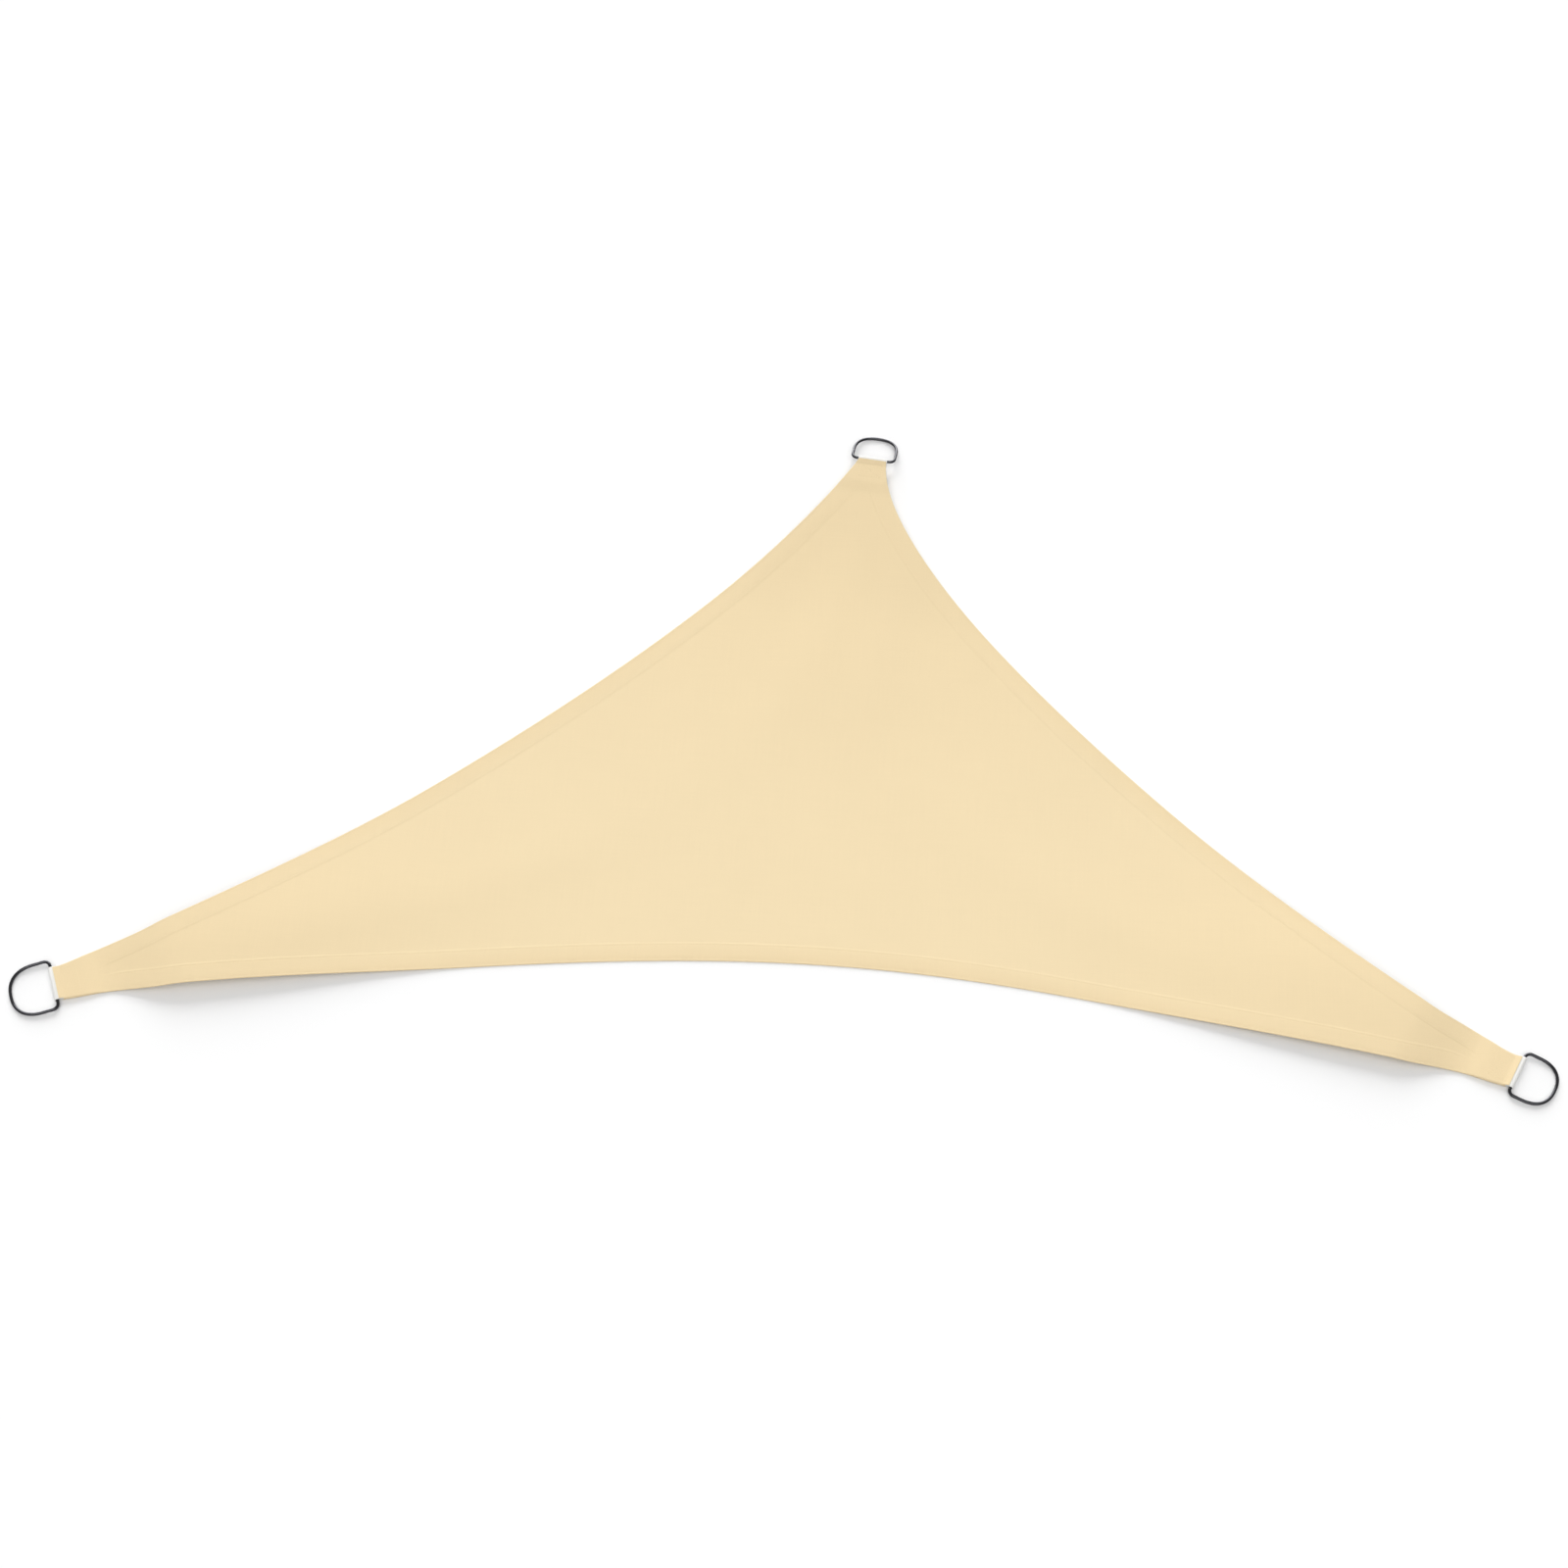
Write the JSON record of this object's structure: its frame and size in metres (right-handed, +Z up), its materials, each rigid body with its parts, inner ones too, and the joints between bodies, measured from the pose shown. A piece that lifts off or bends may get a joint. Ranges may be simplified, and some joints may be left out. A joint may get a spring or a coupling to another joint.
{
  "type": "shade sail",
  "caption": "Triangular beige shade sail lying flat, with hollow-curved edges, corners that rise in low arches, and a steel D-ring in a white webbing loop at each corner.",
  "frame": {"origin": "on the surface that the sail lies on, under the middle of its bounding box", "axes": "+X along the longest edge, from the left corner to the right one; +Y away from that edge towards the apex; +Z up, out of the cloth"},
  "size_m": [2.834, 1.4917, 0.0268],
  "materials": {
    "sail_cloth": "matt woven polyester, sand beige",
    "webbing": "matt woven webbing, white",
    "ring_steel": "dark polished steel wire"
  },
  "bodies": {
    "root": {"sail_cloth": "sail_cloth", "corner_loop_left": "webbing", "corner_loop_right": "webbing", "corner_loop_apex": "webbing", "d_ring_left": "ring_steel", "d_ring_right": "ring_steel", "d_ring_apex": "ring_steel"}
  },
  "joints": []
}
